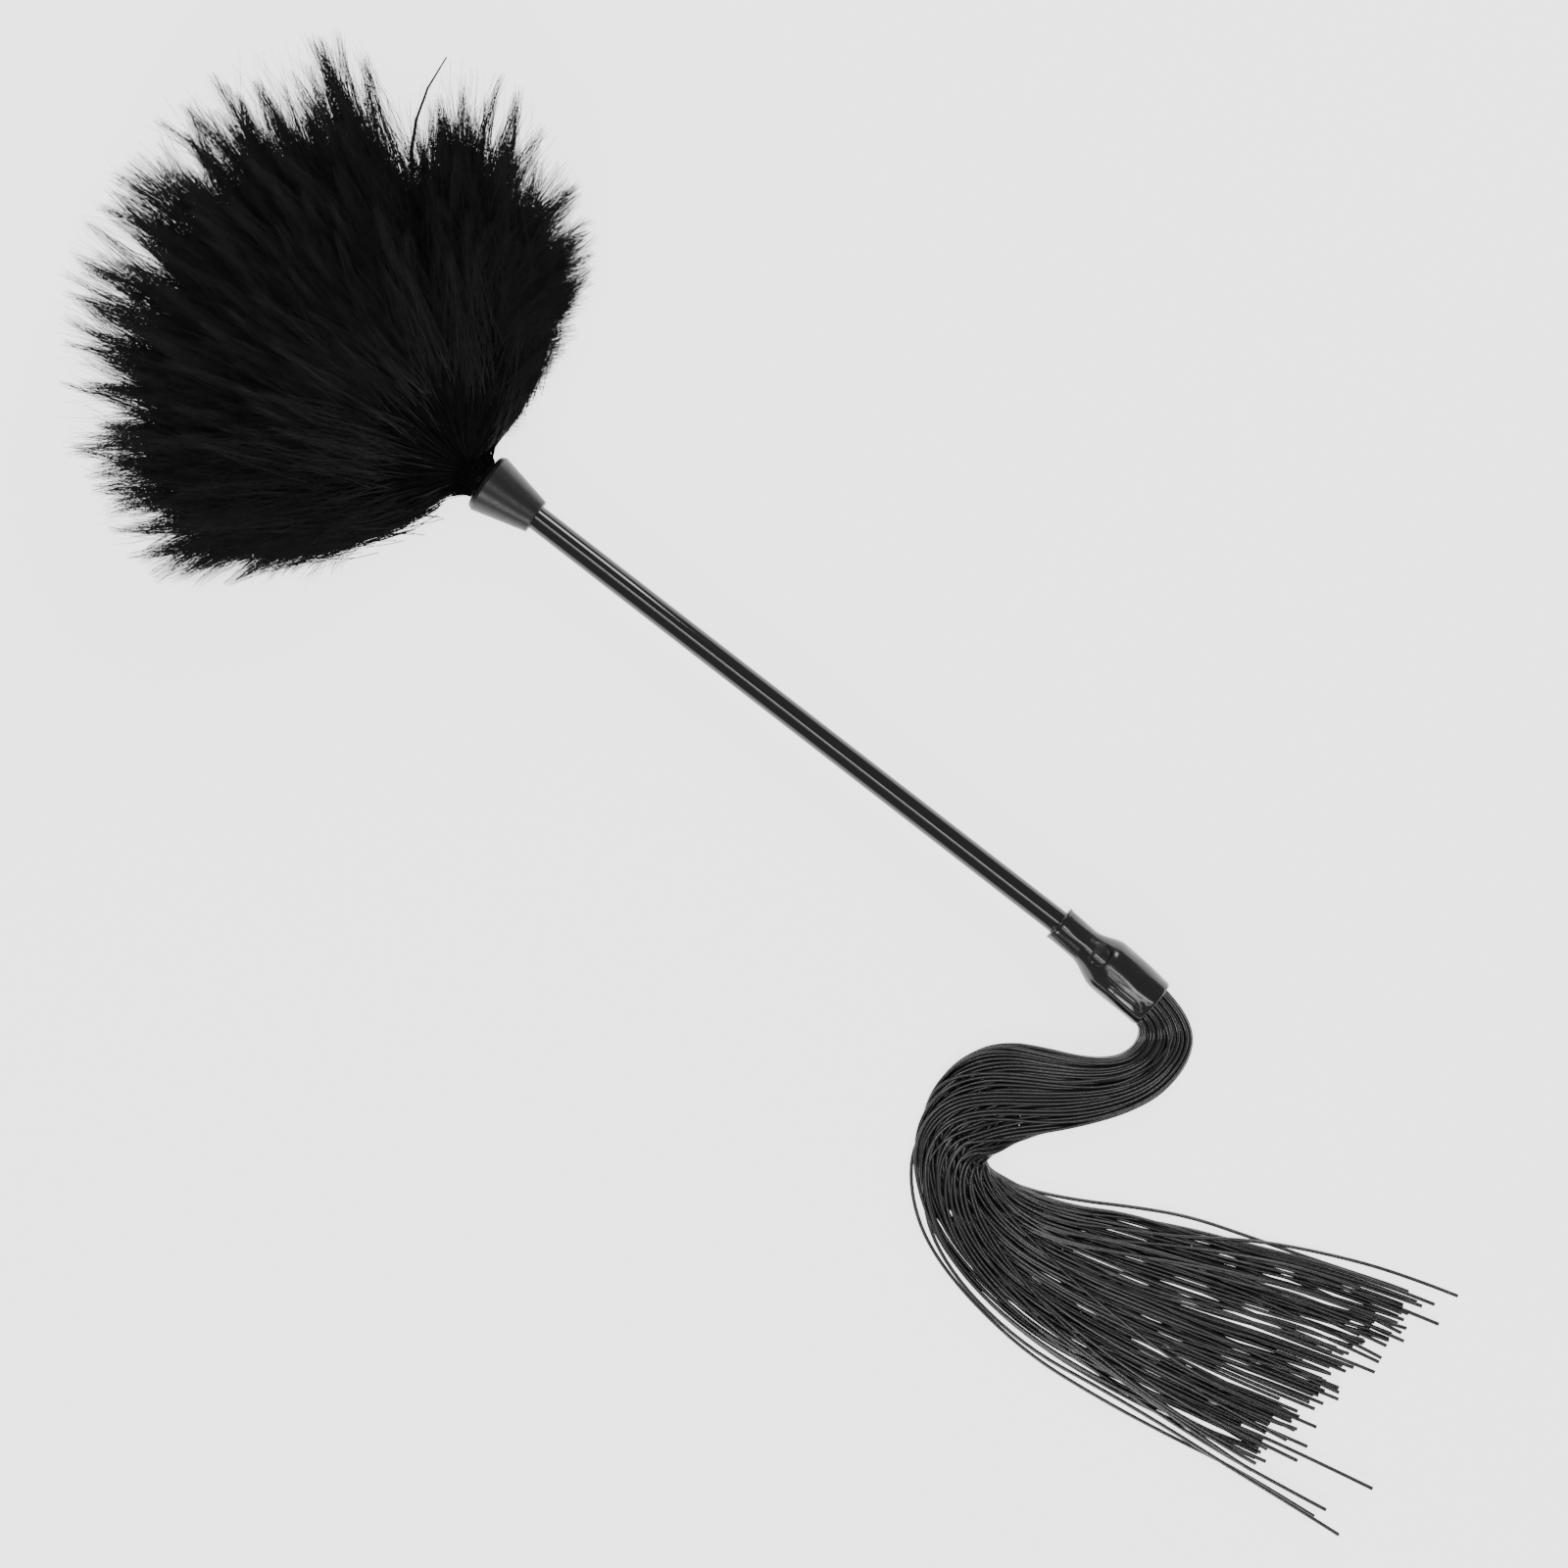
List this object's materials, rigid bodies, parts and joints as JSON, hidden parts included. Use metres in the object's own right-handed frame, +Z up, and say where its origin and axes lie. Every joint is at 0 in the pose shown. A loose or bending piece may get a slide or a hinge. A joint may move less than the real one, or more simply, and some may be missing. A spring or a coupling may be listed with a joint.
{
  "type": "feather duster",
  "caption": "Black down feather duster on a slim glossy rod, with a long tassel of soft round strands on the other end, lying flat.",
  "frame": {"origin": "on the floor under the middle of the part's bounding box", "axes": "+X along the handle rod, from the plume to the tassel; +Z up from the floor that the part lies on"},
  "size_m": [0.5178, 0.193, 0.0715],
  "materials": {
    "rod_gloss": "gloss",
    "ferrule_satin": "satin",
    "sleeve_gloss": "gloss",
    "pin_gloss": "gloss",
    "strand": "satin",
    "down": "matte",
    "quill": "satin",
    "glue": "satin",
    "thread": "matte",
    "tie": "satin"
  },
  "bodies": {
    "root": {"feather_lower_01": "down", "feather_lower_02": "down", "feather_lower_03": "down", "feather_lower_04": "down", "feather_lower_05": "down", "feather_lower_06": "down", "feather_lower_07": "down", "feather_lower_08": "down", "feather_lower_09": "down", "feather_middle_10": "down", "feather_middle_11": "down", "feather_middle_12": "down", "feather_middle_13": "down", "feather_middle_14": "down", "feather_middle_15": "down", "feather_middle_16": "down", "feather_middle_17": "down", "feather_upper_18": "down", "feather_upper_19": "down", "feather_upper_20": "down", "feather_upper_21": "down", "feather_upper_22": "down", "ferrule": "ferrule_satin", "ferrule_glue": "glue", "handle_rod": "rod_gloss", "quill_whipping": "thread", "quills_lower": "quill", "quills_middle": "quill", "quills_upper": "quill", "root_glue": "glue", "root_tie": "tie", "tassel_pin": "pin_gloss", "tassel_sleeve": "sleeve_gloss", "tassel_strands_01": "strand", "tassel_strands_02": "strand", "tassel_strands_03": "strand", "tassel_strands_04": "strand", "tassel_strands_05": "strand", "tassel_strands_06": "strand", "tassel_strands_07": "strand", "tassel_strands_08": "strand", "tassel_strands_09": "strand", "tassel_strands_10": "strand", "tassel_strands_11": "strand", "tassel_strands_12": "strand", "tassel_strands_13": "strand", "tassel_strands_14": "strand", "tassel_strands_15": "strand", "tassel_strands_16": "strand", "tassel_strands_17": "strand", "tassel_strands_18": "strand", "tassel_strands_19": "strand", "tassel_strands_20": "strand", "tassel_strands_21": "strand", "tassel_strands_22": "strand"}
  },
  "joints": []
}
